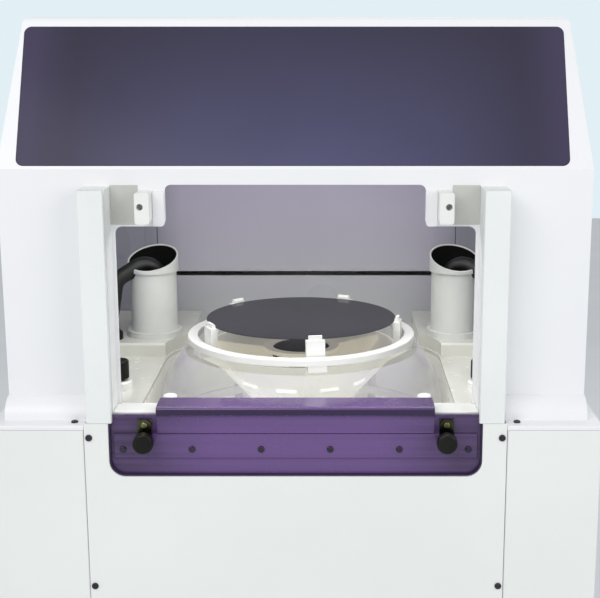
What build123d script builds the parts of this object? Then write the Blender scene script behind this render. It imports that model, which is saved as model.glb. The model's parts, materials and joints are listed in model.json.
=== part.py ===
from build123d import *
import math
import os

os.makedirs("parts", exist_ok=True)

# A floor-standing spin coater: cabinet, lifting sash, splash bell on lifts, edge-grip chuck.
# Frame: millimetres, floor at z = 0, front faces -Y, wafer axis at x = 0.
wafer_z = 1000.0
front_y = -385.0
axis_y = front_y + 300.0
rear_y = 375.0
collar_stand = 35.0
rear_reach = rear_y + collar_stand
lower_half = 420.0
upper_half = lower_half - 16.0
sheet = 3.0
plate = 6.0
seam = 0.5

# Heights of the cabinet.
foot_height = 50.0
panel_bottom = 60.0
ledge_top = wafer_z - 85.0
ledge_bottom = ledge_top - 6.0
hood_bottom = wafer_z + 260.0
hood_top = wafer_z + 462.0
face_y = front_y + 55.0
face_back = face_y + plate
cove = 29.0

# Centre bay, rails and sash.
cutout_bottom = wafer_z - 158.0
cutout_corner = 22.0
opening_half = 251.5
rail_width = 34.5
bay_margin = 4.0
bay_half = opening_half + rail_width + bay_margin
groove_depth = 7.0
cutout_half = opening_half + 4.9
reveal = 4.5
header_bottom = wafer_z + 239.0
corner_drop = wafer_z + 182.0
sash_front = front_y + 9.0
sash_thick = 6.0
sash_half = opening_half + groove_depth
sash_top = wafer_z - 72.0
sash_travel = 317.0
sash_bottom = cutout_bottom - sash_travel - 5.0
groove_gap = 0.6
bar_thick = 4.0
bar_low = wafer_z - 133.0
bar_high = wafer_z - 98.0
lip_low = wafer_z - 66.0
lip_high = wafer_z - 58.0
plunger_x = opening_half - 45.5
lip_half = plunger_x - 16.0
header_gap_half = plunger_x - 28.5
plunger_z = wafer_z - 104.0
pin_r = 4.0
pin_gap = 0.35
knob_r = 14.0

# Chamber.
chamber_half = upper_half - 29.0
liner = 4.0
back_wall_y = rear_y - 90.0
deck_top = wafer_z - 95.0
deck_thick = 6.0
platform_top = wafer_z - 72.0
slot_half = 270.0
slot_height = 8.7
well_half = 232.0
well_front = axis_y - 232.0
well_back = axis_y + 236.0
well_floor = wafer_z - 200.0
pan_wall = 4.0
exhaust_r = 50.0
exhaust_z = wafer_z + 66.0
drain_r = 20.0
drain_y = axis_y + 205.0
drain_z = 300.0

# Chuck, spindle and bell.
wafer_r = 150.0
wafer_thick = 0.775
ring_outer = 180.0
ring_inner = 164.0
ring_top = wafer_z - 24.0
ring_thick = 10.0
post_count = 5
post_first = -90.0 + 9.3
post_width = 28.0
post_outer = 159.5
seat_r = 146.0
tip_width = 20.0
tip_rise = 6.0
funnel_top = wafer_z - 44.0
funnel_waist = wafer_z - 121.0
funnel_low = wafer_z - 165.0
funnel_r = 151.0
waist_r = 78.5
shaft_r = 15.0
run_gap = 0.05
bearing_r = 30.0
bell_gap = 3.5
lift_rod_r = 6.0
lift_radius = 216.0


def save(builder, name):
    """Labels one finished piece and writes its file."""
    builder.part.label = name
    export_step(builder.part, f"parts/{name}.step")


def slab(xs, ys, zs, mode=Mode.ADD):
    """A box between limits, added to the open part."""
    spot = ((xs[0] + xs[1]) / 2, (ys[0] + ys[1]) / 2, (zs[0] + zs[1]) / 2)
    with Locations(spot):
        Box(xs[1] - xs[0], ys[1] - ys[0], zs[1] - zs[0], mode=mode)


def post(x, y, z, radius, height, mode=Mode.ADD):
    """An upright cylinder standing on z."""
    with Locations((x, y, z)):
        Cylinder(radius, height, align=(Align.CENTER, Align.CENTER, Align.MIN), mode=mode)


def rod_y(x, y, z, radius, length, mode=Mode.ADD):
    """A cylinder lying along +Y from y."""
    with Locations(Location((x, y, z), (-90, 0, 0))):
        Cylinder(radius, length, align=(Align.CENTER, Align.CENTER, Align.MIN), mode=mode)


# Base: feet, tray and welded frame.
feet_at = [(sx * (lower_half - 50), y) for sx in (-1, 1) for y in (front_y + 65, rear_y - 50)]
with BuildPart() as feet:
    for x, y in feet_at:
        post(x, y, 0, 30, 10)
        post(x, y, 10, 8, foot_height - 10)
        with BuildSketch(Plane.XY.offset(30)):
            with Locations((x, y)):
                RegularPolygon(15, 6)
        extrude(amount=9)
    chamfer(feet.edges().filter_by(GeomType.CIRCLE).group_by(Axis.Z)[0], 1.5)
save(feet, "leveling_feet")

with BuildPart() as tray:
    slab((8 - lower_half, lower_half - 8), (front_y + 25, rear_y - 7), (foot_height, foot_height + plate))
save(tray, "base_tray")

tube = 30.0
frame_x = (lower_half - 12.0 - tube, lower_half - 12.0)
frame_low = foot_height + plate
frame_high = deck_top - deck_thick
frame_front = (front_y + 27.0, front_y + 27.0 + tube)
frame_rear = (rear_y - 9.0 - tube, rear_y - 9.0)
with BuildPart() as frame:
    for side in (-1, 1):
        xs = sorted((side * frame_x[0], side * frame_x[1]))
        for ys in (frame_front, frame_rear):
            slab(xs, ys, (frame_low, frame_high))
        for zs in ((frame_low, frame_low + tube), (frame_high - tube, frame_high)):
            slab(xs, (frame_front[0], frame_rear[1]), zs)
    slab((-frame_x[0], frame_x[0]), frame_rear, (frame_high - tube, frame_high))
    for ys in (frame_front, frame_rear):
        slab((-frame_x[0], frame_x[0]), ys, (frame_low, frame_low + tube))
save(frame, "welded_frame")

# Lower cladding.
with BuildPart() as centre_panel:
    with BuildSketch(Plane.XZ.offset(-front_y)):
        with Locations((0, (panel_bottom + wafer_z - 82) / 2)):
            Rectangle(2 * (bay_half - seam), wafer_z - 82 - panel_bottom)
    extrude(amount=-sheet)
    for side in (-1, 1):
        xs = sorted((side * (bay_half - seam), side * (bay_half - seam - sheet)))
        slab(xs, (front_y + sheet, front_y + 18), (panel_bottom, ledge_bottom - 10))
    slab((4 - bay_half, bay_half - 4), (front_y + sheet, front_y + 18), (panel_bottom, panel_bottom + sheet))
    with BuildSketch(Plane.XZ.offset(-front_y + 1)):
        with Locations((0, cutout_bottom + 100)):
            RectangleRounded(2 * cutout_half, 200, cutout_corner)
        with Locations((0, wafer_z - 50)):
            Rectangle(2 * cutout_half, 120)
    extrude(amount=-sheet - 1.5, mode=Mode.SUBTRACT)
    with BuildSketch(Plane.XZ.offset(-front_y + 1)):
        for side in (-1, 1):
            for row in range(4):
                with Locations((side * (bay_half - 7), wafer_z - 102 - 218 * row)):
                    Circle(2.6)
    extrude(amount=-sheet - 1.5, mode=Mode.SUBTRACT)
save(centre_panel, "front_centre_panel")

with BuildPart() as panel_screws:
    for side in (-1, 1):
        for row in range(4):
            rod_y(side * (bay_half - 7), front_y, wafer_z - 102 - 218 * row, 2.5, sheet)
            rod_y(side * (bay_half - 7), front_y - 2.4, wafer_z - 102 - 218 * row, 4.7, 2.4)
    fillet(panel_screws.edges().filter_by(GeomType.CIRCLE).group_by(Axis.Y)[0], 1.4)
save(panel_screws, "front_panel_screws")

inner, outer = bay_half + seam, lower_half
with BuildPart() as doors:
    for side in (-1, 1):
        xs = sorted((side * inner, side * outer))
        slab(xs, (front_y, front_y + 20), (panel_bottom, ledge_bottom - seam))
    fillet(doors.edges().filter_by(Axis.Z).group_by(Axis.Y)[0], 2.5)
    for side in (-1, 1):
        xs = sorted((side * (inner + sheet), side * (outer - sheet)))
        slab(xs, (front_y + sheet, front_y + 21), (panel_bottom + sheet, ledge_bottom - seam - sheet),
             Mode.SUBTRACT)
save(doors, "front_side_panels")

with BuildPart() as side_panels:
    for side in (-1, 1):
        xs = sorted((side * (outer - sheet), side * outer))
        slab(xs, (front_y + 20 + seam, rear_y), (panel_bottom, ledge_bottom - seam))
        slab(xs, (face_back + seam, rear_y), (ledge_bottom - seam, ledge_top))
        xs = sorted((side * upper_half, side * (outer - sheet)))
        slab(xs, (face_back + seam, rear_y), (ledge_top - sheet, ledge_top))
save(side_panels, "lower_side_panels")

with BuildPart() as upper_sides:
    for side in (-1, 1):
        xs = sorted((side * (upper_half - plate), side * upper_half))
        slab(xs, (face_back, rear_y), (deck_top - 5, hood_bottom))
save(upper_sides, "upper_side_panels")

with BuildPart() as rear_low:
    slab((-lower_half + sheet + seam, lower_half - sheet - seam), (rear_y - sheet, rear_y),
         (panel_bottom, deck_top - 6))
    rod_y(0, rear_y - 10, drain_z, drain_r + 1.5, 20, Mode.SUBTRACT)
    for row in range(6):
        slab((180, 340), (rear_y - 10, rear_y + 1), (160 + 22 * row, 168 + 22 * row), Mode.SUBTRACT)
save(rear_low, "lower_rear_panel")

with BuildPart() as rear_up:
    slab((-upper_half + plate, upper_half - plate), (rear_y - sheet, rear_y), (deck_top - 5, hood_bottom))
    rod_y(0, rear_y - 10, exhaust_z, exhaust_r + 1.5, 20, Mode.SUBTRACT)
save(rear_up, "upper_rear_panel")

# Upper face with its cove, ledge, opening and hanging corner plates.
with BuildPart() as fascia:
    with BuildSketch(Plane.YZ):
        with BuildLine():
            Polyline((face_y - cove, ledge_top), (face_back, ledge_top), (face_back, hood_bottom),
                     (face_y, hood_bottom), (face_y, ledge_top + cove))
            RadiusArc((face_y, ledge_top + cove), (face_y - cove, ledge_top), -cove)
        make_face()
    extrude(amount=upper_half, both=True)
    slab((-lower_half, lower_half), (front_y, face_back), (ledge_bottom, ledge_top))
    fillet(fascia.edges().filter_by(Axis.X).group_by(Axis.Y)[0].sort_by(Axis.Z)[-1], 2.5)
    slab((-bay_half, bay_half), (front_y - 1, face_y), (ledge_bottom - 1, ledge_top + cove + 5),
         Mode.SUBTRACT)
    opening_low = ledge_bottom - 1
    slab((reveal - opening_half, opening_half - reveal), (face_y - 1, face_back + 1),
         (opening_low, corner_drop), Mode.SUBTRACT)
    slab((-header_gap_half, header_gap_half), (face_y - 1, face_back + 1),
         (corner_drop - 1, header_bottom), Mode.SUBTRACT)
    corners = [edge for edge in fascia.edges().filter_by(Axis.Y)
               if abs(abs(edge.center().X) - opening_half + reveal) < 0.1
               and abs(edge.center().Z - corner_drop) < 0.1]
    fillet(corners, 11)
    corners = [edge for edge in fascia.edges().filter_by(Axis.Y)
               if abs(abs(edge.center().X) - header_gap_half) < 0.1]
    fillet(corners, 9)
    with BuildSketch(Plane.XZ.offset(-face_y)):
        for side in (-1, 1):
            with Locations((side * (header_gap_half + 8), wafer_z + 207)):
                RectangleRounded(15, 48, 4)
    extrude(amount=8)
    for side in (-1, 1):
        xs = sorted((side * (plunger_x + 9), side * (opening_half - reveal)))
        slab(xs, (face_y - 1, face_y + 3), (wafer_z + 187, wafer_z + 235), Mode.SUBTRACT)
save(fascia, "upper_fascia")

with BuildPart() as ledge_screws:
    for side in (-1, 1):
        post(side * (bay_half + 15), front_y + 17, ledge_top, 4.75, 2.6)
    fillet(ledge_screws.edges().filter_by(GeomType.CIRCLE).group_by(Axis.Z)[-1], 1.4)
    with BuildSketch(Plane.XY.offset(ledge_top + 2.6)):
        for side in (-1, 1):
            with Locations((side * (bay_half + 15), front_y + 17)):
                RegularPolygon(1.7, 6)
    extrude(amount=-1.4, mode=Mode.SUBTRACT)
save(ledge_screws, "ledge_screws")

# Hood with its slanted window.
hood_rise = hood_top - hood_bottom
hood_lean, hood_rear_lean, hood_side_lean = 98.5, 30.0, 23.0
hood_wall = 8.0
slope = math.atan2(hood_lean, hood_rise)


def hood_section(height, wall):
    """Half width, front and back of the hood at a height above its foot, shrunk by the wall."""
    share = height / hood_rise
    half = upper_half - hood_side_lean * share - wall
    low = face_y + hood_lean * share + wall * 1.1
    high = rear_y - hood_rear_lean * share - wall
    return half, low, high


with BuildPart() as hood:
    for wall, mode in ((0, Mode.ADD), (hood_wall, Mode.SUBTRACT)):
        for height in (0, hood_rise - wall):
            half, low, high = hood_section(height, wall)
            with BuildSketch(Plane.XY.offset(hood_bottom + height)):
                with Locations((0, (low + high) / 2)):
                    Rectangle(2 * half, high - low)
        loft(mode=mode)
        if wall == 0:
            fillet(hood.faces().sort_by(Axis.Z)[-1].edges(), 10)
window_shift, window_up = -3.0, 107.5
face_point = (window_shift, face_y + window_up * math.sin(slope), hood_bottom + window_up * math.cos(slope))
window_plane = Plane(origin=face_point, x_dir=(1, 0, 0), z_dir=(0, -math.cos(slope), math.sin(slope)))
window_w, window_h = 750.0, 205.0
with hood:
    with BuildSketch(window_plane.offset(1)):
        RectangleRounded(window_w + 1, window_h + 1, 10.5)
    extrude(amount=-6, mode=Mode.SUBTRACT)
    with BuildSketch(window_plane.offset(1)):
        RectangleRounded(window_w - 30, window_h - 30, 10)
    extrude(amount=-14, mode=Mode.SUBTRACT)
save(hood, "hood_shell")

with BuildPart() as gasket:
    with BuildSketch(window_plane.offset(-5)):
        RectangleRounded(window_w - 2, window_h - 2, 9)
        RectangleRounded(window_w - 26, window_h - 26, 10, mode=Mode.SUBTRACT)
    extrude(amount=1.5)
save(gasket, "window_gasket")

with BuildPart() as window:
    with BuildSketch(window_plane.offset(-3.5)):
        RectangleRounded(window_w, window_h, 10)
    extrude(amount=4)
    chamfer(window.faces().sort_by(Axis(face_point, tuple(window_plane.z_dir)))[-1].edges(), 0.6)
save(window, "hood_window")

# Rails with the sash groove, and the latch blocks on the corner plates.
rail_low = sash_bottom - 12
rail_high = wafer_z + 237
bay_top = wafer_z - 82
with BuildPart() as rails:
    for side in (-1, 1):
        xs = sorted((side * opening_half, side * (opening_half + rail_width)))
        slab(xs, (front_y, face_y), (bay_top + seam, rail_high))
    fillet(rails.edges().filter_by(Axis.Z).group_by(Axis.Y)[0], 2)
    for side in (-1, 1):
        xs = sorted((side * opening_half, side * (opening_half + rail_width)))
        slab(xs, (front_y + sheet + seam, face_y), (rail_low, bay_top + seam))
        xs = sorted((side * (opening_half - 1), side * (sash_half + 1)))
        slab(xs, (sash_front - groove_gap, sash_front + sash_thick + groove_gap),
             (sash_bottom - 0.3, rail_high + 1), Mode.SUBTRACT)
        xs = sorted((side * (opening_half - 1), side * cutout_half))
        slab(xs, (front_y, sash_front), (sash_bottom - 0.3, bay_top + seam), Mode.SUBTRACT)
save(rails, "sash_rails")

with BuildPart() as blocks:
    for side in (-1, 1):
        xs = sorted((side * (header_gap_half + 16), side * (plunger_x + 7)))
        slab(xs, (front_y + 18, face_y), (wafer_z + 190, wafer_z + 232))
    fillet(blocks.edges().filter_by(Axis.Y), 3)
    for side in (-1, 1):
        rod_y(side * plunger_x, front_y + 17, wafer_z + 213, 4.5, 20, Mode.SUBTRACT)
save(blocks, "latch_blocks")

with BuildPart() as sill:
    slab((-opening_half + seam, opening_half - seam), (sash_front + sash_thick + 2, face_back - seam),
         (wafer_z - 90, wafer_z - 70))
    fillet(sill.edges().filter_by(Axis.X).group_by(Axis.Z)[-1], 1.5)
    for side in (-1, 1):
        xs = sorted((side * (opening_half - reveal - seam), side * opening_half))
        slab(xs, (face_y - seam, face_back), (wafer_z - 91, wafer_z - 69), Mode.SUBTRACT)
save(sill, "opening_sill")

# Chamber liners, deck, platforms and pan.
def well_outline(grow):
    """Outline of the well, wide corners at the back, grown by a wall."""
    half = well_half + grow
    low, high = well_front - grow, well_back + grow
    near, far = 30 + grow, 140 + grow
    pts = FilletPolyline((0, low), (half, low), (half, axis_y), radius=near)
    pts2 = FilletPolyline((half, axis_y), (half, high), (0, high), radius=far)
    mirror(pts, about=Plane.YZ)
    mirror(pts2, about=Plane.YZ)


with BuildPart() as deck:
    with BuildSketch(Plane.XY.offset(deck_top - deck_thick)):
        with Locations((0, (face_back + seam + back_wall_y) / 2)):
            Rectangle(2 * (chamber_half + 10), back_wall_y - face_back - seam)
    extrude(amount=deck_thick)
    with BuildSketch(Plane.XY.offset(deck_top - deck_thick - 1)):
        with BuildLine():
            well_outline(0)
        make_face()
    extrude(amount=deck_thick + 2, mode=Mode.SUBTRACT)
save(deck, "chamber_deck")

with BuildPart() as pan:
    with BuildSketch(Plane.XY.offset(well_floor - pan_wall)):
        with BuildLine():
            well_outline(pan_wall)
        make_face()
    extrude(amount=deck_top - deck_thick - well_floor + pan_wall)
    with BuildSketch(Plane.XY.offset(well_floor)):
        with BuildLine():
            well_outline(0)
        make_face()
    extrude(amount=200, mode=Mode.SUBTRACT)
    post(0, axis_y, well_floor - 10, 40, 30, Mode.SUBTRACT)
    post(0, drain_y, well_floor - 10, drain_r - 2, 30, Mode.SUBTRACT)
    for side in (-1, 1):
        post(side * lift_radius, axis_y, well_floor - 10, lift_rod_r + 1, 30, Mode.SUBTRACT)
save(pan, "drain_pan")

with BuildPart() as platforms:
    for side in (-1, 1):
        xs = sorted((side * 200, side * chamber_half))
        slab(xs, (axis_y + 110, back_wall_y), (deck_top, platform_top))
    with BuildSketch(Plane.XY.offset(deck_top - 1)):
        with BuildLine():
            well_outline(3)
        make_face()
    extrude(amount=60, mode=Mode.SUBTRACT)
    chamfer(platforms.faces().group_by(Axis.Z)[-1].edges().filter_by(Axis.X), 3)
save(platforms, "rear_platforms")

with BuildPart() as liners:
    for side in (-1, 1):
        xs = sorted((side * chamber_half, side * (chamber_half + liner)))
        slab(xs, (face_back, back_wall_y), (deck_top, hood_bottom - 3))
save(liners, "chamber_side_liners")

with BuildPart() as back_wall:
    slab((-chamber_half - liner, chamber_half + liner), (back_wall_y, back_wall_y + liner),
         (deck_top, hood_bottom - 3))
    slab((-slot_half, slot_half), (back_wall_y - 1, back_wall_y + liner + 1),
         (wafer_z - slot_height / 2, wafer_z + slot_height / 2), Mode.SUBTRACT)
    for side in (-1, 1):
        joint_x = side * (chamber_half - 71)
        slab((joint_x - 0.75, joint_x + 0.75), (back_wall_y - 1, back_wall_y + 1),
             (wafer_z + 10, hood_bottom), Mode.SUBTRACT)
save(back_wall, "chamber_back_wall")

plenum_front = back_wall_y + liner
plenum_back = rear_y - 13
with BuildPart() as plenum:
    slab((-290, 290), (plenum_front, plenum_back), (wafer_z - 34, exhaust_z + 66))
    slab((-286, 286), (plenum_front - 1, plenum_back - 4), (wafer_z - 30, exhaust_z + 62), Mode.SUBTRACT)
    rod_y(0, plenum_back - 10, exhaust_z, exhaust_r - 2, 20, Mode.SUBTRACT)
save(plenum, "exhaust_plenum")

with BuildPart() as collar:
    rod_y(0, plenum_back, exhaust_z, exhaust_r + 12, 4)
    rod_y(0, plenum_back + 4, exhaust_z, exhaust_r, rear_reach - plenum_back - 4)
    rod_y(0, plenum_back - 1, exhaust_z, exhaust_r - 2, 80, Mode.SUBTRACT)
save(collar, "exhaust_collar")

with BuildPart() as drain:
    with BuildLine() as drain_line:
        FilletPolyline((0, drain_y, well_floor - pan_wall), (0, drain_y, drain_z),
                       (0, rear_reach - 5, drain_z), radius=90)
    with BuildSketch(Plane.XY.offset(well_floor - pan_wall)):
        with Locations((0, drain_y)):
            Circle(drain_r)
            Circle(drain_r - 3, mode=Mode.SUBTRACT)
    sweep(path=drain_line.line)
    with BuildSketch(Plane.XY.offset(well_floor - pan_wall)):
        with Locations((0, drain_y)):
            Circle(drain_r + 10)
            Circle(drain_r - 3, mode=Mode.SUBTRACT)
    extrude(amount=-5)
save(drain, "drain_pipe")

# Columns with a slanted cap, and the hoses that leave through a notch in it.
column_x, column_y, column_r = 261.5, axis_y + 181, 40.0
column_wall = 3.5
cap_low, cap_r, cap_wall = wafer_z + 41, column_r + 3.5, 2.5
mouth_z, mouth_side, mouth_front = wafer_z + 63.5, 0.10, 0.38
hose_r, hose_x, hose_swing = 13.5, 334.0, 35.0
hose_bend = 2 * hose_r
gland_high = 14.0
hose_foot_y = column_y - hose_swing
bend_in = (column_x - 10, column_y, wafer_z + 72.5)
bend_out = (hose_x - 13, hose_foot_y + 3, wafer_z + 30)
with BuildPart() as columns:
    for side in (-1, 1):
        x = side * column_x
        post(x, column_y, platform_top, column_r, cap_low + cap_wall - platform_top)
        post(x, column_y, cap_low, cap_r, 80)
        post(x, column_y, platform_top - 1, column_r - column_wall, 220, Mode.SUBTRACT)
        post(x, column_y, cap_low + cap_wall, cap_r - cap_wall, 90, Mode.SUBTRACT)
        mouth = Plane(origin=(x, column_y, mouth_z), x_dir=(0, 1, mouth_front),
                      z_dir=(side * mouth_side, -mouth_front, 1))
        with BuildSketch(mouth):
            Circle(90)
        extrude(amount=120, mode=Mode.SUBTRACT)
        start = Vector(side * bend_in[0], bend_in[1], bend_in[2])
        way = (Vector(side * bend_out[0], bend_out[1], bend_out[2]) - start).normalized()
        across = Vector(0, 0, 1).cross(way).normalized()
        with BuildSketch(Plane(origin=start + way * 35, x_dir=across, z_dir=way)):
            Circle(hose_r + 1)
            with Locations((0, 30)):
                Rectangle(2 * hose_r + 2, 60)
        extrude(amount=40, mode=Mode.SUBTRACT)
save(columns, "gas_columns")

with BuildPart() as hoses:
    for side in (-1, 1):
        with BuildLine() as hose_line:
            FilletPolyline((side * bend_in[0], column_y, platform_top + 2),
                           (side * bend_in[0], bend_in[1], bend_in[2]),
                           (side * bend_out[0], bend_out[1], bend_out[2]),
                           (side * hose_x, hose_foot_y, platform_top + gland_high + 8),
                           (side * hose_x, hose_foot_y, platform_top), radius=hose_bend)
        with BuildSketch(Plane.XY.offset(platform_top + 2)):
            with Locations((side * bend_in[0], column_y)):
                Circle(hose_r)
        sweep(path=hose_line.line)
save(hoses, "gas_hoses")

with BuildPart() as collars:
    for side in (-1, 1):
        post(side * column_x, column_y, platform_top, column_r + 7, 10)
        post(side * column_x, column_y, platform_top - 1, column_r + 0.3, 20, Mode.SUBTRACT)
save(collars, "column_collars")

with BuildPart() as glands:
    for side in (-1, 1):
        post(side * hose_x, hose_foot_y, platform_top, hose_r + 9, gland_high)
    chamfer(glands.edges().filter_by(GeomType.CIRCLE).group_by(Axis.Z)[-1], 3)
    for side in (-1, 1):
        post(side * hose_x, hose_foot_y, platform_top - 1, hose_r + 0.3, 20, Mode.SUBTRACT)
save(glands, "hose_glands")

knob_spots = [(side * 278, axis_y - 83) for side in (-1, 1)]
with BuildPart() as bosses:
    for x, y in knob_spots:
        post(x, y, deck_top, 19, 14)
    chamfer(bosses.edges().filter_by(GeomType.CIRCLE).group_by(Axis.Z)[-1], 3)
save(bosses, "deck_bosses")
with BuildPart() as deck_knobs:
    for x, y in knob_spots:
        post(x, y, deck_top + 14, 8, 4)
        post(x, y, deck_top + 18, 15, 28)
    fillet(deck_knobs.edges().filter_by(GeomType.CIRCLE).group_by(Axis.Z)[-1], 3)
save(deck_knobs, "deck_knobs")

tie_spots = [(side * 182, axis_y - 216) for side in (-1, 1)]
tie_spots += [(side * 120, axis_y + 217) for side in (-1, 1)]
with BuildPart() as ties:
    for x, y in tie_spots:
        post(x, y, well_floor, 7, wafer_z - 76 - well_floor)
save(ties, "pan_tie_rods")
with BuildPart() as nuts:
    for x, y in tie_spots:
        post(x, y, wafer_z - 76, 10, 11)
    fillet(nuts.edges().filter_by(GeomType.CIRCLE).group_by(Axis.Z)[-1], 2.5)
save(nuts, "retaining_nuts")

# Spindle: housing, bearings and motor can stay still; shaft and rotor turn.
housing_low = 640.0
housing_bore = 22.0
with BuildPart() as housing:
    post(0, axis_y, housing_low, 45, well_floor - pan_wall - housing_low)
    post(0, axis_y, well_floor - pan_wall - 8, 70, 8)
    post(0, axis_y, well_floor - pan_wall, 39.7, pan_wall + 14)
    post(0, axis_y, housing_low - 1, housing_bore, 260, Mode.SUBTRACT)
    for z in (housing_low + 10, well_floor - pan_wall - 30):
        post(0, axis_y, z, bearing_r + run_gap, 16, Mode.SUBTRACT)
save(housing, "spindle_housing")
with BuildPart() as bearings:
    for z in (housing_low + 10, well_floor - pan_wall - 30):
        post(0, axis_y, z, bearing_r, 16)
        post(0, axis_y, z - 1, shaft_r + run_gap, 18, Mode.SUBTRACT)
save(bearings, "spindle_bearings")
motor_low = 500.0
with BuildPart() as motor:
    post(0, axis_y, motor_low, 70, housing_low - motor_low)
    post(0, axis_y, motor_low + 8, 52, housing_low - motor_low - 16, Mode.SUBTRACT)
    post(0, axis_y, housing_low - 9, 20, 10, Mode.SUBTRACT)
    fillet(motor.edges().filter_by(GeomType.CIRCLE).group_by(Axis.Z)[0], 4)
save(motor, "motor_can")
with BuildPart() as lifts:
    for side in (-1, 1):
        x = side * lift_radius
        post(x, axis_y, well_floor - pan_wall - 150, 19, 150)
        post(x, axis_y, well_floor - pan_wall - 144, 15, 138, Mode.SUBTRACT)
        post(x, axis_y, well_floor - pan_wall - 7, lift_rod_r + run_gap, 8, Mode.SUBTRACT)
save(lifts, "lift_cylinders")
with BuildPart() as control:
    box_width, box_gap = 240.0, 18.0
    box_left = box_gap - frame_x[0]
    box_x, box_y, box_top = (box_left, box_left + box_width), (140.0, 320.0), 560.0
    slab(box_x, box_y, (frame_low, box_top))
    fillet(control.edges().filter_by(Axis.Z), 4)
    slab((box_x[0] + 2, box_x[1] - 2), (box_y[0] + 2, box_y[1] + 1), (frame_low + 2, box_top - 2),
         Mode.SUBTRACT)
save(control, "control_box")

# Sash.
with BuildPart() as sash:
    with BuildSketch(Plane.XZ.offset(-sash_front)):
        with Locations((0, (sash_top + sash_bottom) / 2)):
            Rectangle(2 * sash_half, sash_top - sash_bottom)
        for side in (-1, 1):
            with Locations((side * plunger_x, plunger_z)):
                Circle(pin_r + pin_gap, mode=Mode.SUBTRACT)
    extrude(amount=-sash_thick)
save(sash, "sash_sheet")
with BuildPart() as bar:
    with BuildSketch(Plane.XZ.offset(-sash_front + bar_thick)):
        with Locations((0, (bar_low + bar_high) / 2)):
            Rectangle(2 * (opening_half - 1.5), bar_high - bar_low)
        for side in (-1, 1):
            with Locations((side * plunger_x, plunger_z)):
                Circle(pin_r + pin_gap, mode=Mode.SUBTRACT)
    extrude(amount=-bar_thick)
    chamfer(bar.faces().sort_by(Axis.Y)[0].outer_wire().edges(), 0.8)
save(bar, "sash_stiffener")
with BuildPart() as lip:
    with BuildSketch(Plane.YZ):
        with BuildLine():
            Polyline((front_y + 45, lip_low), (front_y + 45, lip_high), (front_y + 3, lip_high))
            RadiusArc((front_y + 3, lip_high), (front_y - 2, lip_high - 5), -5)
            Polyline((front_y - 2, lip_high - 5), (front_y - 2, lip_low - 3),
                     (sash_front - bar_thick, lip_low - 7), (sash_front - bar_thick, bar_high + 1),
                     (sash_front, bar_high + 1), (sash_front, lip_low), (front_y + 45, lip_low))
        make_face()
    extrude(amount=lip_half, both=True)
save(lip, "sash_lip")
screw_margin, screw_count = 14.0, 6
screw_pitch = 2 * (opening_half - screw_margin) / (screw_count - 1)
with BuildPart() as sash_screws:
    for x in [(k - (screw_count - 1) / 2) * screw_pitch for k in range(screw_count)]:
        rod_y(x, sash_front - bar_thick - 2.4, wafer_z - 120, 4.5, 2.4)
    fillet(sash_screws.edges().filter_by(GeomType.CIRCLE).group_by(Axis.Y)[0], 1.4)
save(sash_screws, "sash_screws")
bracket_y = sash_front - bar_thick
with BuildPart() as brackets:
    for side in (-1, 1):
        x = side * (plunger_x + 1)
        with BuildSketch(Plane.XZ.offset(-bracket_y + 4)):
            with Locations((x, wafer_z - 98)):
                SlotCenterToCenter(23, 20, rotation=90)
        extrude(amount=-4)
        with BuildSketch(Plane.XZ.offset(-bracket_y)):
            with Locations((x, wafer_z - 87)):
                Rectangle(20, 20)
        extrude(amount=-bar_thick)
        rod_y(side * plunger_x, bracket_y - 12, plunger_z, 8, 8.5)
        rod_y(side * plunger_x, bracket_y - 13, plunger_z, pin_r + pin_gap, 30, Mode.SUBTRACT)
save(brackets, "latch_brackets")
with BuildPart() as bracket_screws:
    for side in (-1, 1):
        rod_y(side * (plunger_x + 1), bracket_y - 6.5, wafer_z - 84, 4.2, 2.5)
    fillet(bracket_screws.edges().filter_by(GeomType.CIRCLE).group_by(Axis.Y)[0], 1.2)
save(bracket_screws, "latch_screws")
for side, word in ((-1, "left"), (1, "right")):
    with BuildPart() as plunger:
        rod_y(side * plunger_x, front_y - 11, plunger_z, pin_r, sash_front + sash_thick + 2 - front_y + 11)
    save(plunger, f"plunger_pin_{word}")
    with BuildPart() as knob:
        rod_y(side * plunger_x, front_y - 25, plunger_z, knob_r, 14)
        fillet(knob.edges().filter_by(GeomType.CIRCLE).group_by(Axis.Y)[0], 3)
        chamfer(knob.edges().filter_by(GeomType.CIRCLE).group_by(Axis.Y)[-1], 1.5)
    save(knob, f"plunger_knob_{word}")

# Splash bell on its lift.
bell_r = ring_outer + bell_gap
with BuildPart() as bell:
    with BuildSketch(Plane.XZ.offset(-axis_y)):
        with BuildLine():
            Spline((bell_r, wafer_z - 47), (205.5, wafer_z - 77.5),
                   (221.5, wafer_z - 121), (222.5, wafer_z - 170))
            Line((222.5, wafer_z - 170), (226, wafer_z - 170))
            Spline((226, wafer_z - 170), (225, wafer_z - 120),
                   (209, wafer_z - 76), (bell_r + 3.5, wafer_z - 45))
            Line((bell_r + 3.5, wafer_z - 45), (bell_r, wafer_z - 47))
        make_face()
    revolve(axis=Axis((0, axis_y, 0), (0, 0, 1)))
save(bell, "splash_bell")
with BuildPart() as bell_base:
    post(0, axis_y, wafer_z - 178, 226, 8)
    post(0, axis_y, wafer_z - 179, 206, 10, Mode.SUBTRACT)
save(bell_base, "bell_base_ring")
with BuildPart() as rods:
    for side in (-1, 1):
        low = well_floor - pan_wall - 140
        post(side * lift_radius, axis_y, low, lift_rod_r, wafer_z - 178 - low)
        post(side * lift_radius, axis_y, low, 14.6, 12)
save(rods, "lift_rods")

# Spinning chuck.
spin_axis = Axis((0, axis_y, 0), (0, 0, 1))
angles = [post_first + 360 / post_count * k for k in range(post_count)]


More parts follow.
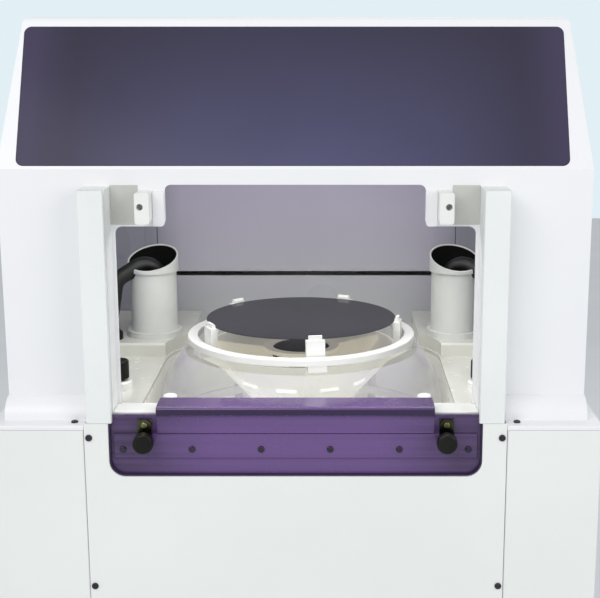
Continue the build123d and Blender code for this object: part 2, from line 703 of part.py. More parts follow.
def radial_plane(angle, back=0.0):
    """Upright plane through the spin axis: local x runs outwards, local y up."""
    a = math.radians(angle)
    out = (math.cos(a), math.sin(a), 0)
    side = (math.sin(a), -math.cos(a), 0)
    start = (side[0] * back, axis_y + side[1] * back, 0)
    return Plane(origin=start, x_dir=out, z_dir=side)


with BuildPart() as ring:
    post(0, axis_y, ring_top - ring_thick, ring_outer, ring_thick)
    post(0, axis_y, ring_top - ring_thick - 1, ring_inner, ring_thick + 2, Mode.SUBTRACT)
    fillet(ring.edges().filter_by(GeomType.CIRCLE).group_by(Axis.Z)[-1], 1.5)
save(ring, "chuck_ring")

seat_z = wafer_z - wafer_thick
with BuildPart() as posts:
    for angle in angles:
        with BuildSketch(radial_plane(angle)):
            with BuildLine():
                Polyline((seat_r, funnel_top), (178, funnel_top), (178, ring_top - ring_thick),
                         (post_outer, ring_top - ring_thick), (post_outer, seat_z), (seat_r, seat_z),
                         (seat_r + 3, seat_z - 11), (seat_r + 3, funnel_top + 8), (seat_r, funnel_top))
            make_face()
        extrude(amount=post_width / 2, both=True)
        with BuildSketch(radial_plane(angle)):
            with BuildLine():
                Polyline((wafer_r + 0.4, seat_z - 1), (wafer_r + 6.5, seat_z - 1),
                         (wafer_r + 6.5, wafer_z + tip_rise), (wafer_r + 2.5, wafer_z + tip_rise),
                         (wafer_r + 0.4, wafer_z + 3), (wafer_r + 0.4, seat_z - 1))
            make_face()
        extrude(amount=tip_width / 2, both=True)
save(posts, "chuck_posts")

with BuildPart() as funnel:
    with BuildSketch(Plane.XZ.offset(-axis_y)):
        with BuildLine():
            Polyline((funnel_r, funnel_top), (waist_r, funnel_waist), (waist_r, funnel_low),
                     (18, funnel_low),
                     (18, funnel_low + 6), (waist_r - 4, funnel_low + 6), (waist_r - 4, funnel_waist + 1.6),
                     (funnel_r - 5.5, funnel_top), (funnel_r, funnel_top))
        make_face()
    revolve(axis=spin_axis)
    for angle in angles:
        with BuildSketch(radial_plane(angle)):
            with BuildLine():
                Polyline((funnel_r - 2, funnel_top), (176, funnel_top), (funnel_r - 10, funnel_top - 20),
                         (waist_r + 6, funnel_waist - 4), (waist_r + 6, funnel_low + 6),
                         (waist_r - 2, funnel_low + 6), (waist_r - 2, funnel_waist),
                         (funnel_r - 2, funnel_top))
            make_face()
        extrude(amount=13, both=True)
save(funnel, "chuck_funnel")

hub_low = funnel_low + 6
with BuildPart() as hub:
    post(0, axis_y, hub_low, 60, 10)
    post(0, axis_y, hub_low, 46, 112)
    fillet(hub.edges().filter_by(GeomType.CIRCLE).group_by(Axis.Z)[-1], 5)
save(hub, "chuck_hub")
with BuildPart() as vanes:
    for angle in angles:
        with BuildSketch(radial_plane(angle + 36)):
            with BuildLine():
                Polyline((47, wafer_z - 140), (70, wafer_z - 140), (70, wafer_z - 122),
                         (138, wafer_z - 52), (138, wafer_z - 44), (47, wafer_z - 52), (47, wafer_z - 140))
            make_face()
        extrude(amount=3, both=True)
    post(0, axis_y, wafer_z - 52, 60, 6)
    post(0, axis_y, wafer_z - 60, 46.4, 30, Mode.SUBTRACT)
save(vanes, "chuck_vanes")
with BuildPart() as wafer:
    post(0, axis_y, wafer_z - wafer_thick, wafer_r, wafer_thick)
save(wafer, "wafer")
with BuildPart() as shaft:
    post(0, axis_y, funnel_low - 8, 36, 8)
    post(0, axis_y, motor_low + 14, shaft_r, funnel_low - 8 - motor_low - 14)
save(shaft, "spindle_shaft")
with BuildPart() as rotor:
    post(0, axis_y, motor_low + 20, 46, 100)
    post(0, axis_y, motor_low + 19, shaft_r + 0.02, 102, Mode.SUBTRACT)
save(rotor, "motor_rotor")
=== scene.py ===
import json
import math
import bmesh
import bpy
from mathutils import Matrix, Vector


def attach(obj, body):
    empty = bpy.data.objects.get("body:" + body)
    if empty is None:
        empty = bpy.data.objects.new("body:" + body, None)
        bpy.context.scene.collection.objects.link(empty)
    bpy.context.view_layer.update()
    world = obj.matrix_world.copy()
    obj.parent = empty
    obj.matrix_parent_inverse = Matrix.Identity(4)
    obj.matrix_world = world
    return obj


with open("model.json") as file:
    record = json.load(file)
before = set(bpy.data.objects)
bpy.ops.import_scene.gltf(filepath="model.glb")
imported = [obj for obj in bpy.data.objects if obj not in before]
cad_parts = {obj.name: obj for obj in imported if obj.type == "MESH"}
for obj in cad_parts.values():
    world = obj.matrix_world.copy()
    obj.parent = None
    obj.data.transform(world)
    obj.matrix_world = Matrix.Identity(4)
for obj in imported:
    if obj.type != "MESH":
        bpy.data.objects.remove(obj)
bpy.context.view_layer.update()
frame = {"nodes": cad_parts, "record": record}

nodes = frame["nodes"]
scene = bpy.context.scene
spinCentre = Vector((0.0, -0.085, 0.0))
print("frame loaded:", len(nodes), "nodes")


# Shader sockets as Python values: + - * / ** work and add Math nodes.
class Shade:
    def __init__(self, graph, socket):
        self.graph, self.socket = graph, socket

    def maths(self, operation, first, second):
        return self.graph.add("ShaderNodeMath", {"operation": operation}, {0: first, 1: second})

    def __add__(self, other): return self.maths("ADD", self, other)
    def __radd__(self, other): return self.maths("ADD", other, self)
    def __sub__(self, other): return self.maths("SUBTRACT", self, other)
    def __rsub__(self, other): return self.maths("SUBTRACT", other, self)
    def __mul__(self, other): return self.maths("MULTIPLY", self, other)
    def __rmul__(self, other): return self.maths("MULTIPLY", other, self)
    def __truediv__(self, other): return self.maths("DIVIDE", self, other)
    def __pow__(self, other): return self.maths("POWER", self, other)


class Graph:
    def __init__(self, name):
        self.material = bpy.data.materials.new(name)
        self.material.use_nodes = True
        self.tree = self.material.node_tree
        self.shader = self.tree.nodes["Principled BSDF"]

    def add(self, kind, settings=None, inputs=None, output=0):
        node = self.tree.nodes.new(kind)
        for key, value in (settings or {}).items():
            setattr(node, key, value)
        for key, value in (inputs or {}).items():
            if isinstance(value, Shade):
                self.tree.links.new(value.socket, node.inputs[key])
            else:
                node.inputs[key].default_value = value
        return Shade(self, node.outputs[output])

    def place(self, scale=(1.0, 1.0, 1.0)):
        coords = self.add("ShaderNodeTexCoord", output="Object")
        return self.add("ShaderNodeMapping", {}, {"Vector": coords, "Scale": scale})

    def noise(self, size, detail=3.0, stretch=(1.0, 1.0, 1.0)):
        return self.add("ShaderNodeTexNoise", {},
                        {"Vector": self.place(stretch), "Scale": size, "Detail": detail})

    def axis(self, letter):
        return self.add("ShaderNodeSeparateXYZ", {}, {0: self.place()}, output=letter)

    def span(self, value, low, high, new=(0.0, 1.0)):
        return self.add("ShaderNodeMapRange", {"clamp": True},
                        {0: value, 1: low, 2: high, 3: new[0], 4: new[1]})

    def mix(self, amount, first, second):
        node = self.tree.nodes.new("ShaderNodeMix")
        node.data_type = "RGBA"
        for socket, value in ((node.inputs[0], amount), (node.inputs[6], first), (node.inputs[7], second)):
            if isinstance(value, Shade):
                self.tree.links.new(value.socket, socket)
            elif isinstance(value, (int, float)):
                socket.default_value = value
            else:
                socket.default_value = (*value, 1.0)
        return Shade(self, node.outputs[2])

    def bump(self, height, strength, depth):
        return self.add("ShaderNodeBump", {}, {"Height": height, "Strength": strength, "Distance": depth})

    def feed(self, **sockets):
        for name, value in sockets.items():
            target = self.shader.inputs[name.replace("_", " ")]
            if isinstance(value, Shade):
                self.tree.links.new(value.socket, target)
            elif isinstance(value, tuple):
                target.default_value = (*value, 1.0)
            else:
                target.default_value = value
        return self.material


def fromScreen(red, green, blue):
    # Screen value 0-255 to a linear colour.
    return tuple((c / 255 / 12.92) if c < 10.3 else ((c / 255 + 0.055) / 1.055) ** 2.4
                 for c in (red, green, blue))


def tune(material, **values):
    # Plain values on the shader of a finished material.
    shader = material.node_tree.nodes["Principled BSDF"]
    for name, value in values.items():
        shader.inputs[name.replace("_", " ")].default_value = value


# Painted and moulded skins: slow clouds between two screen tones, fine peel in the surface.
skinSettings = {"fleck": 0.06, "fleckTone": 0.8, "roughFlow": 7, "roughSpread": (0.8, 1.25),
                "coatRough": 0.08, "peelStrength": 0.25, "peelDepth": 0.0002}
coatSettings = {
    "panelPowderCoat": {"light": (243, 244, 241), "dark": (236, 238, 233), "rough": 0.42, "peel": 700},
    "hoodPaint": {"light": (245, 245, 246), "dark": (240, 240, 241), "rough": 0.38, "peel": 600},
    "whiteFluoroplastic": {"light": (244, 244, 240), "dark": (232, 233, 228), "rough": 0.33, "peel": 380,
                           "cloud": 9.0},
    "railPlastic": {"light": (244, 246, 244), "dark": (236, 239, 236), "rough": 0.36, "peel": 260,
                    "cloud": 5.0},
    "creamDeck": {"light": (232, 232, 222), "dark": (220, 221, 211), "rough": 0.24, "peel": 200,
                  "cloud": 6.0, "coat": 0.3},
    "framePaint": {"light": (150, 153, 158), "dark": (132, 135, 140), "rough": 0.5, "peel": 500},
    # Pan cream, paler than the deck: painted light on the drain pan.
    "panPaintedLight": {"light": (246, 246, 239), "dark": (238, 237, 230), "rough": 0.3, "peel": 200, "cloud": 6.0},
    "funnelFluoroplastic": {"light": (243, 242, 234), "dark": (230, 229, 220), "rough": 0.35, "peel": 380,
                            "cloud": 9.0},
    # Clip white, paler than the other white plastic: painted highlight.
    "clipPaintedHighlight": {"light": (250, 250, 246), "dark": (242, 242, 236), "rough": 0.3, "peel": 380,
                          "cloud": 9.0},
    "vaneCream": {"light": (232, 227, 208), "dark": (216, 208, 184), "rough": 0.35, "peel": 240,
                  "cloud": 14.0},
    "columnPlastic": {"light": (222, 224, 219), "dark": (208, 210, 205), "rough": 0.33, "peel": 380,
                      "cloud": 9.0},
    # Corner cream, darker than the white plastic: painted shade of the recessed corners.
    "cornerShadeCream": {"light": (206, 207, 200), "dark": (190, 191, 184), "rough": 0.35, "peel": 260,
                    "cloud": 12.0}}


def coated(name, light, dark, rough, peel, cloud=2.5, coat=0.0):
    g = Graph(name)
    light, dark = fromScreen(*light), fromScreen(*dark)
    clouds = g.noise(cloud, 4.0)
    fine = g.noise(peel, 2.0)
    colour = g.mix(g.span(clouds, 0.3, 0.7), dark, light)
    fleck = tuple(c * skinSettings["fleckTone"] for c in dark)
    colour = g.mix(g.span(fine, 0.2, 0.8, (0.0, skinSettings["fleck"])), colour, fleck)
    low, high = skinSettings["roughSpread"]
    patches = g.noise(cloud * skinSettings["roughFlow"], 5.0)
    g.feed(Base_Color=colour, Roughness=g.span(patches, 0.2, 0.8, (rough * low, rough * high)),
           Coat_Weight=coat, Coat_Roughness=skinSettings["coatRough"],
           Normal=g.bump(fine, skinSettings["peelStrength"], skinSettings["peelDepth"]))
    return g.material


coats = {name: coated(name, **settings) for name, settings in coatSettings.items()}
tune(coats["railPlastic"], Subsurface_Weight=0.25, Subsurface_Radius=(0.02, 0.02, 0.02))

# A weak glow is painted light: it lifts the pale pan, funnel, clips and vanes out of their shade, standing in for
# light scattered inside the plastic.
paintedGlowSettings = {"panPaintedLight": ((1.0, 1.0, 0.97), 0.07), "funnelFluoroplastic": ((1.0, 0.98, 0.9), 0.16),
                "clipPaintedHighlight": ((1.0, 1.0, 0.97), 0.42), "vaneCream": ((1.0, 0.95, 0.84), 0.22)}
for name, (tint, strength) in paintedGlowSettings.items():
    tune(coats[name], Emission_Color=(*tint, 1.0), Emission_Strength=strength)


# Metals with a lay of fine lines.
metalSettings = {
    "satinSteel": {"light": (0.55, 0.55, 0.54), "dark": (0.38, 0.38, 0.38), "rough": 0.3,
                   "stretch": (1.0, 1.0, 14.0)},
    "turnedAluminium": {"light": (0.72, 0.72, 0.73), "dark": (0.55, 0.55, 0.57), "rough": 0.34,
                        "stretch": (1.0, 1.0, 9.0)},
    "agedBrass": {"light": (0.45, 0.42, 0.20), "dark": (0.22, 0.20, 0.09), "rough": 0.25,
                  "stretch": (3.0, 3.0, 3.0)},
    "darkenedScrew": {"light": (0.09, 0.08, 0.10), "dark": (0.04, 0.035, 0.05), "rough": 0.35,
                      "stretch": (2.0, 2.0, 2.0)},
    "bronzedBracket": {"light": (0.16, 0.17, 0.11), "dark": (0.05, 0.055, 0.03), "rough": 0.22,
                       "stretch": (2.0, 2.0, 3.0)}}


def brushed(name, light, dark, rough, stretch):
    g = Graph(name)
    lines = g.noise(60, 6.0, stretch)
    colour = g.mix(g.span(g.noise(9, 4.0), 0.3, 0.7), dark, light)
    g.feed(Base_Color=g.mix(g.span(lines, 0.3, 0.7, (0.0, 0.35)), colour, dark), Metallic=1.0,
           Roughness=g.span(lines, 0.2, 0.8, (rough * 0.7, rough * 1.4)), Normal=g.bump(lines, 0.2, 0.0001))
    return g.material


metals = {name: brushed(name, **settings) for name, settings in metalSettings.items()}

# Rubber and black plastic, a little dusty; two dark tones among them are painted shade.
rubberSettings = {
    "blackRubber": {"light": (24, 25, 24), "dark": (12, 13, 12), "rough": 0.5},
    # Near-black for the painted shade deep in the gas columns.
    "throatShadeBlack": {"light": (12, 13, 11), "dark": (5, 6, 4), "rough": 0.8},
    "blackKnobPlastic": {"light": (22, 22, 15), "dark": (11, 11, 7), "rough": 0.32},
    # Dark violet for the painted shade in the gap round the sash's cut-out.
    "darkVioletShadeStrip": {"light": (52, 38, 74), "dark": (36, 24, 56), "rough": 0.35}}


def rubberFinish(name, light, dark, rough):
    g = Graph(name)
    dust = g.noise(26, 6.0)
    g.feed(Base_Color=g.mix(g.span(dust, 0.35, 0.75), fromScreen(*dark), fromScreen(*light)),
           Roughness=g.span(dust, 0.2, 0.8, (rough * 0.75, rough * 1.2)),
           Normal=g.bump(g.noise(420, 2.0), 0.25, 0.0004))
    return g.material


rubbers = {name: rubberFinish(name, **settings) for name, settings in rubberSettings.items()}
tune(rubbers["throatShadeBlack"], Specular_IOR_Level=0.1)
tune(rubbers["blackKnobPlastic"], Specular_IOR_Level=0.25)

# Glossy grey-lilac wall, paler and warmer towards its foot, with soft clouds and two upright joints; darker towards
# its ends, painted shade in the corners.
linerSettings = {"foot": fromScreen(196, 198, 200), "head": fromScreen(194, 186, 208),
                 "ends": fromScreen(150, 151, 162), "cloud": fromScreen(176, 171, 186),
                 "joint": fromScreen(70, 70, 84), "rise": (1.0, 1.24), "drift": 0.12, "endSquares": (0.055, 0.085),
                 "jointSquares": (0.07835, 0.0787, 0.0796, 0.0792)}


def linerFinish():
    g = Graph("linerGlossy")
    drift = g.axis("Z") + g.noise(3.0, 3.0) * linerSettings["drift"]
    across = g.axis("X")
    square = across * across
    colour = g.mix(g.span(drift, *linerSettings["rise"]), linerSettings["foot"], linerSettings["head"])
    # Painted shade: the wall darkens towards both ends, where the corners shade it.
    colour = g.mix(g.span(square, *linerSettings["endSquares"]), colour, linerSettings["ends"])
    cloud = g.span(g.noise(3.0, 2.0, (1.0, 1.0, 0.5)), 0.25, 0.8, (0.0, 0.4))
    colour = g.mix(cloud, colour, linerSettings["cloud"])
    inner, innerEnd, outer, outerEnd = linerSettings["jointSquares"]
    joint = g.span(square, inner, innerEnd) * g.span(square, outer, outerEnd)
    g.feed(Base_Color=g.mix(joint, colour, linerSettings["joint"]),
           Roughness=g.span(g.noise(4, 2.0), 0.2, 0.8, (0.24, 0.34)), Coat_Weight=0.3, Coat_Roughness=0.2,
           Normal=g.bump(g.noise(45, 2.0), 0.15, 0.0006))
    return g.material


# Smoked pane: violet grey, deeper at its upper corners and sides, paler and bluer low in the middle: painted light
# and reflection.
windowSettings = {"deep": fromScreen(58, 54, 68), "middle": fromScreen(86, 85, 116), "edge": fromScreen(76, 70, 96),
                  "reachSquare": 0.13, "top": 1.44, "bottom": 1.27, "edgeFrom": 0.72, "edgeMost": 0.7,
                  "specular": 0.1}


def windowFinish():
    g = Graph("smokedPane")
    across, height = g.axis("X"), g.axis("Z")
    side = across * across / windowSettings["reachSquare"]
    low = g.span(height, windowSettings["top"], windowSettings["bottom"])
    # Painted light and reflection: paler low in the middle, deeper at the upper corners and towards the sides.
    paintedPaneLight = (1.0 - g.span(side, 0.0, 1.0)) * (low * 0.75 + 0.25)
    paintedPaneLight = paintedPaneLight * g.span(g.noise(4.0, 3.0), 0.2, 0.8, (0.75, 1.1))
    colour = g.mix(paintedPaneLight, windowSettings["deep"], windowSettings["middle"])
    edge = g.span(side, windowSettings["edgeFrom"], 1.0, (0.0, windowSettings["edgeMost"]))
    g.feed(Base_Color=g.mix(edge, colour, windowSettings["edge"]),
           Roughness=g.span(g.noise(30, 4.0), 0.2, 0.8, (0.12, 0.2)), Coat_Weight=0.02, Coat_Roughness=0.15,
           Normal=g.bump(g.noise(6, 2.0), 0.1, 0.001), Specular_IOR_Level=windowSettings["specular"])
    return g.material


# Purple acrylic: paler middle, deep at its ends, faint drawn lines along it; on a lip, a dark band along its front
# edge is painted shade.
sashSettings = {"middle": fromScreen(103, 74, 131), "ends": fromScreen(66, 46, 84), "drawn": fromScreen(116, 90, 146),
                "noseShade": fromScreen(40, 22, 62), "endSquares": (0.012, 0.05), "noseShadeLow": (0.9300, 0.9306),
                "noseShadeHigh": (0.9400, 0.9380), "noseShadeDepth": (-0.3845, -0.3860), "rough": (0.2, 0.32)}


def sashFinish(name, noseShaded=False):
    g = Graph(name)
    across = g.axis("X")
    drawn = g.noise(16, 4.0, (0.15, 1.0, 9.0))
    ends = g.span(across * across, *sashSettings["endSquares"])
    colour = g.mix(ends, sashSettings["middle"], sashSettings["ends"])
    colour = g.mix(g.span(drawn, 0.35, 0.7, (0.0, 0.3)), colour, sashSettings["drawn"])
    if noseShaded:
        # Painted shade: a dark band on the lip's front face.
        height, depth = g.axis("Z"), g.axis("Y")
        noseShade = g.span(height, *sashSettings["noseShadeLow"]) * g.span(height, *sashSettings["noseShadeHigh"])
        noseShade = noseShade * g.span(depth, *sashSettings["noseShadeDepth"])
        colour = g.mix(noseShade, colour, sashSettings["noseShade"])
    g.feed(Base_Color=colour, Roughness=g.span(g.noise(24, 4.0), 0.2, 0.8, sashSettings["rough"]),
           Coat_Weight=0.2, Coat_Roughness=0.1, Normal=g.bump(drawn, 0.08, 0.0004))
    return g.material


# Clear moulded shroud: nearly open face on, pale where seen edge on, a painted sheen.
bellSettings = {"warm": fromScreen(240, 241, 234), "cool": fromScreen(226, 222, 240), "edgeOnSheen": 0.45,
                "faceOn": (0.16, 0.28), "rough": (0.05, 0.12)}


def bellFinish():
    g = Graph("clearShroud")
    rim = g.add("ShaderNodeLayerWeight", {}, {"Blend": 0.35}, output="Facing")
    flow = g.noise(7, 4.0, (1.0, 1.0, 2.5))
    see = rim ** 3.0 * bellSettings["edgeOnSheen"] + g.span(flow, 0.3, 0.75, bellSettings["faceOn"])
    g.feed(Base_Color=g.mix(g.span(flow, 0.3, 0.7), bellSettings["warm"], bellSettings["cool"]), Alpha=see,
           Roughness=g.span(g.noise(20, 3.0), 0.2, 0.8, bellSettings["rough"]), Coat_Weight=0.6,
           Coat_Roughness=0.03, Normal=g.bump(g.noise(14, 2.0), 0.2, 0.001))
    return g.material


# Polished silicon with a faint film sheen.
waferSettings = {"dark": fromScreen(34, 37, 38), "light": fromScreen(44, 45, 48), "metallic": 0.2,
                 "rough": (0.12, 0.18), "specular": 0.05}


def waferFinish():
    g = Graph("polishedSilicon")
    film = g.noise(5, 2.0)
    g.feed(Base_Color=g.mix(g.span(film, 0.3, 0.7), waferSettings["dark"], waferSettings["light"]),
           Metallic=waferSettings["metallic"],
           Roughness=g.span(g.noise(18, 3.0), 0.2, 0.8, waferSettings["rough"]),
           Normal=g.bump(film, 0.05, 0.0005), Specular_IOR_Level=waferSettings["specular"])
    return g.material


# What each slot wears, and the nodes that differ from their slot.
dressing = {
    "tinted_window": windowFinish(), "white_panel": coats["panelPowderCoat"], "hood_white": coats["hoodPaint"],
    "purple_sash": sashFinish("purpleAcrylic"), "rail_plastic": coats["railPlastic"],
    "liner_grey": linerFinish(), "cream_deck": coats["creamDeck"], "white_plastic": coats["whiteFluoroplastic"],
    "clear_bell": bellFinish(), "black_rubber": rubbers["blackRubber"],
    "black_plastic": rubbers["blackKnobPlastic"], "steel": metals["satinSteel"],
    "grey_frame": coats["framePaint"], "brass_screw": metals["agedBrass"], "silicon": waferFinish(),
    "aluminium_part": metals["turnedAluminium"], "vane_cream": coats["vaneCream"]}
special = {
    "drain_pan": coats["panPaintedLight"], "chuck_funnel": coats["funnelFluoroplastic"],
    "gas_columns": coats["columnPlastic"], "column_collars": coats["columnPlastic"],
    "sash_screws": metals["darkenedScrew"], "front_panel_screws": metals["darkenedScrew"],
    "ledge_screws": metals["darkenedScrew"], "latch_brackets": metals["bronzedBracket"],
    "sash_lip": sashFinish("purpleLip", noseShaded=True)}
for part in frame["record"]["subparts"]:
    piece = nodes[part["node"]]
    piece.data.materials.clear()
    piece.data.materials.append(special.get(part["node"], dressing[part["material_slot"]]))
print("finishes on", len(nodes), "nodes")


def keepPiece(name, form, material, body, smooth=False):
    bmesh.ops.recalc_face_normals(form, faces=form.faces)
    data = bpy.data.meshes.new(name)
    form.to_mesh(data)
    form.free()
    if smooth:
        data.shade_smooth()
    piece = bpy.data.objects.new(name, data)
    data.materials.append(material)
    scene.collection.objects.link(piece)
    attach(piece, body)


def addBlock(form, matrix, edge):
    # A unit cube under the matrix, with small rounded edges.
    made = bmesh.ops.create_cube(form, size=1.0, matrix=matrix)
    edges = list({e for v in made["verts"] for e in v.link_edges})
    bmesh.ops.bevel(form, geom=edges, offset=edge, offset_type="OFFSET", segments=2, profile=0.5,
                    affect="EDGES", material=-1)


# Black linings of the two gas columns, up to the slanted mouth and open at the hose's notch, and a black disc in each
# bore: painted shade deep inside the columns.
throatSettings = {"centre": (0.2615, 0.096), "bore": 0.0362, "capBore": 0.0407, "low": 0.9285, "notch": 1.0255,
                  "ledge": 1.0439, "mouth": 1.0635, "lip": 0.0012, "slant": (0.10, 0.38), "wall": 0.0006,
                  "steps": 96, "exit": (0.908, -0.418), "notchHalf": 0.0158}
shadePlugSettings = {"radius": 0.0352, "thick": 0.004, "height": 1.0, "segments": 56}
for side, word in ((-1, "Left"), (1, "Right")):
    throat = bmesh.new()
    midX, midY = side * throatSettings["centre"][0], throatSettings["centre"][1]
    bore, capBore, ledge = throatSettings["bore"], throatSettings["capBore"], throatSettings["ledge"]
    exitX, exitY = throatSettings["exit"]
    slantX, slantY = throatSettings["slant"]
    rings = []
    for k in range(throatSettings["steps"]):
        turn = 2 * math.pi * k / throatSettings["steps"]
        wayX, wayY = math.cos(turn), math.sin(turn)
        across = side * wayX * exitY - wayY * exitX
        ahead = side * wayX * exitX + wayY * exitY
        atNotch = ahead > 0 and abs(across) * capBore < throatSettings["notchHalf"]
        drop = slantX * side * wayX - slantY * wayY
        top = throatSettings["mouth"] - drop * capBore - throatSettings["lip"]
        levels = [(bore, throatSettings["low"]), (bore, throatSettings["notch"]), (bore, ledge),
                  (capBore, ledge), (capBore, top)]
        rings.append((atNotch, [throat.verts.new((midX + r * wayX, midY + r * wayY, z)) for r, z in levels]))
    for (shut, near), (shutNext, far) in zip(rings, rings[1:] + rings[:1]):
        for level in range(1 if shut or shutNext else 4):
            throat.faces.new((near[level], far[level], far[level + 1], near[level + 1]))
    bmesh.ops.delete(throat, geom=[v for v in throat.verts if not v.link_faces], context="VERTS")
    bmesh.ops.recalc_face_normals(throat, faces=throat.faces)
    bmesh.ops.solidify(throat, geom=throat.faces[:], thickness=throatSettings["wall"])
    keepPiece(f"columnShadeLining{word}", throat, rubbers["throatShadeBlack"], "cabinet", smooth=True)
    shadePlug = bmesh.new()
    bmesh.ops.create_cone(shadePlug, cap_ends=True, segments=shadePlugSettings["segments"], radius1=shadePlugSettings["radius"],
                          radius2=shadePlugSettings["radius"], depth=shadePlugSettings["thick"],
                          matrix=Matrix.Translation((midX, midY, shadePlugSettings["height"])))
    keepPiece(f"columnShadePlug{word}", shadePlug, rubbers["throatShadeBlack"], "cabinet")

# Cream plates on the hanging corners, round the latch blocks: painted shade, darker than the white plastic round
# them.
pocketSettings = {"front": -0.3308, "back": -0.3301, "inner": 0.2136, "outer": 0.2512, "low": 1.1845,
                  "high": 1.2385, "edge": 0.0002}
for side, word in ((-1, "Left"), (1, "Right")):
    backing = bmesh.new()
    xs = sorted((side * pocketSettings["inner"], side * pocketSettings["outer"]))
    low = Vector((xs[0], pocketSettings["front"], pocketSettings["low"]))
    high = Vector((xs[1], pocketSettings["back"], pocketSettings["high"]))
    addBlock(backing, Matrix.LocRotScale((low + high) / 2, None, high - low), pocketSettings["edge"])
    keepPiece(f"cornerShadePlate{word}", backing, coats["cornerShadeCream"], "cabinet")

# Dark violet strip round the cut-out that the sash drops behind: painted shade in the gap between panel edge and
# sash.
shadeStripSettings = {"half": 0.2564, "low": 0.842, "high": 0.9285, "corner": 0.022, "reach": 0.0022,
                "front": -0.3818, "back": -0.3772, "steps": 10}
shadeStrip = bmesh.new()
path = [(-shadeStripSettings["half"], shadeStripSettings["high"])]
for side, start in ((-1, 180), (1, 270)):
    heart = (side * (shadeStripSettings["half"] - shadeStripSettings["corner"]), shadeStripSettings["low"] + shadeStripSettings["corner"])
    for k in range(shadeStripSettings["steps"] + 1):
        turn = math.radians(start + 90 * k / shadeStripSettings["steps"])
        path.append((heart[0] + shadeStripSettings["corner"] * math.cos(turn),
                     heart[1] + shadeStripSettings["corner"] * math.sin(turn)))
path.append((shadeStripSettings["half"], shadeStripSettings["high"]))
rings = []
for k, (x, z) in enumerate(path):
    before, after = path[max(k - 1, 0)], path[min(k + 1, len(path) - 1)]
    run = Vector((after[0] - before[0], after[1] - before[1])).normalized()
    inner = (x - run.y * shadeStripSettings["reach"], z + run.x * shadeStripSettings["reach"])
    rings.append([shadeStrip.verts.new((px, y, pz)) for px, pz in ((x, z), inner)
                  for y in (shadeStripSettings["front"], shadeStripSettings["back"])])
for near, far in zip(rings, rings[1:]):
    for first, second in ((0, 1), (1, 3), (3, 2), (2, 0)):
        shadeStrip.faces.new((near[first], near[second], far[second], far[first]))
for end in (rings[0], rings[-1]):
    shadeStrip.faces.new((end[0], end[1], end[3], end[2]))
keepPiece("cutoutShadeStrip", shadeStrip, rubbers["darkVioletShadeStrip"], "cabinet")

# Small clips round the chuck's funnel; their glow and pale tone are a painted highlight.
clipSettings = {"radius": 0.1060, "height": 0.9065, "size": (0.006, 0.032, 0.004), "edge": 0.0012, "count": 10,
                "first": -101.0}
clips = bmesh.new()
for k in range(clipSettings["count"]):
    turn = math.radians(clipSettings["first"] + k * 360 / clipSettings["count"])
    place = spinCentre + Vector((math.cos(turn), math.sin(turn), 0)) * clipSettings["radius"]
    place.z = clipSettings["height"]
    addBlock(clips, Matrix.LocRotScale(place, Matrix.Rotation(turn, 3, "Z"), Vector(clipSettings["size"])),
             clipSettings["edge"])
keepPiece("funnelClips", clips, coats["clipPaintedHighlight"], "chuck")
print("added pieces made")

# Camera at a standing user's eye, looking down a little.
cameraSettings = {"place": (0.054, -1.952, 1.4255), "pitch": 12.0, "lens": 72.0, "sensor": 36.0, "shift": -0.0583}
eye = bpy.data.objects.new("camera", bpy.data.cameras.new("camera"))
scene.collection.objects.link(eye)
eye.location = cameraSettings["place"]
eye.rotation_euler = (math.radians(90 - cameraSettings["pitch"]), 0, 0)
eye.data.lens = cameraSettings["lens"]
eye.data.sensor_width = cameraSettings["sensor"]
eye.data.shift_x = cameraSettings["shift"]
scene.camera = eye

# Floor.
floorSettings = {"dark": fromScreen(226, 230, 232), "light": fromScreen(236, 239, 240), "rough": 0.7, "size": 8.0}
floorGraph = Graph("paleFloor")
speck = floorGraph.noise(3.0, 3.0)
floorGraph.feed(Base_Color=floorGraph.mix(speck, floorSettings["dark"], floorSettings["light"]),
                Roughness=floorSettings["rough"])
floorMesh = bmesh.new()
bmesh.ops.create_grid(floorMesh, x_segments=1, y_segments=1, size=floorSettings["size"])
floorData = bpy.data.meshes.new("floor")
floorMesh.to_mesh(floorData)
floorMesh.free()
floor = bpy.data.objects.new("floor", floorData)
floorData.materials.append(floorGraph.material)
scene.collection.objects.link(floor)

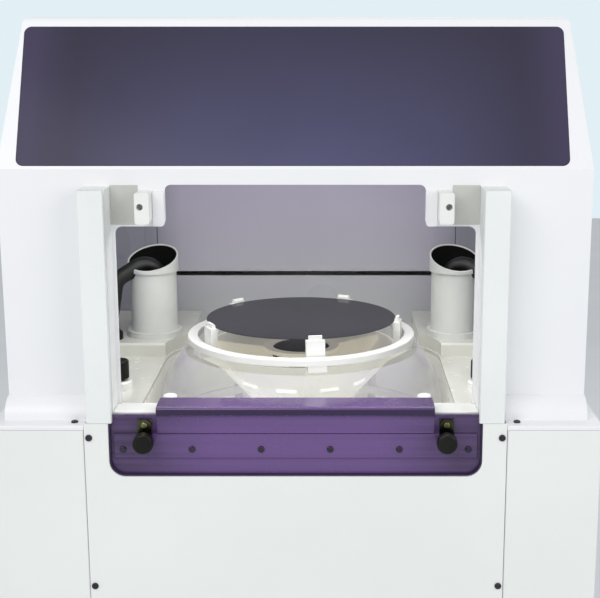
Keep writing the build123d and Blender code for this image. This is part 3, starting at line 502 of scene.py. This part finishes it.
# Backdrop: one tone lights the part, a paler one is what the camera sees.
studioSettings = {"light": (0.95, 0.97, 1.0), "strength": 0.62, "seen": fromScreen(226, 240, 246),
                  "seenStrength": 1.0}
world = bpy.data.worlds.new("studio")
scene.world = world
world.use_nodes = True
tree = world.node_tree
back = tree.nodes["Background"]
rays = tree.nodes.new("ShaderNodeLightPath")
shown = tree.nodes.new("ShaderNodeBackground")
blend = tree.nodes.new("ShaderNodeMixShader")
back.inputs["Color"].default_value = (*studioSettings["light"], 1.0)
back.inputs["Strength"].default_value = studioSettings["strength"]
shown.inputs["Color"].default_value = (*studioSettings["seen"], 1.0)
shown.inputs["Strength"].default_value = studioSettings["seenStrength"]
tree.links.new(rays.outputs["Is Camera Ray"], blend.inputs[0])
tree.links.new(back.outputs[0], blend.inputs[1])
tree.links.new(shown.outputs[0], blend.inputs[2])
tree.links.new(blend.outputs[0], tree.nodes["World Output"].inputs["Surface"])

# Softboxes round the cabinet, and small lamps inside the chamber.
lampSettings = {
    "keySoftbox": {"place": (-1.2, -2.6, 2.9), "aim": (0.0, 0.0, 1.0), "size": (2.2, 1.6), "power": 34.0},
    "fillSoftbox": {"place": (1.9, -2.4, 1.9), "aim": (0.0, 0.0, 1.0), "size": (1.6, 1.6), "power": 16.0},
    "rearSoftbox": {"place": (0.6, 2.6, 2.6), "aim": (0.0, 0.0, 1.0), "size": (2.0, 1.6), "power": 12.0},
    "chamberLeft": {"place": (-0.2, -0.14, 1.35), "aim": (0.0, 0.08, 0.95), "size": (0.22, 0.3), "power": 0.56},
    "chamberRight": {"place": (0.2, -0.14, 1.35), "aim": (0.0, 0.08, 0.95), "size": (0.22, 0.3), "power": 0.56},
    "chamberTop": {"place": (0.0, -0.2, 1.25), "aim": (0.0, -0.2, 0.9), "size": (0.66, 0.14), "power": 0.9},
    "chamberLow": {"place": (0.0, -0.325, 0.965), "aim": (0.0, 0.2, 1.0), "size": (0.4, 0.03), "power": 0.03}}
for name, settings in lampSettings.items():
    data = bpy.data.lights.new(name, "AREA")
    data.shape, data.size, data.size_y = "RECTANGLE", settings["size"][0], settings["size"][1]
    data.energy = settings["power"]
    holder = bpy.data.objects.new(name, data)
    scene.collection.objects.link(holder)
    holder.location = settings["place"]
    way = Vector(settings["aim"]) - Vector(settings["place"])
    holder.rotation_euler = way.to_track_quat("-Z", "Y").to_euler()
scene.view_settings.view_transform = "Standard"
print("camera and light set")
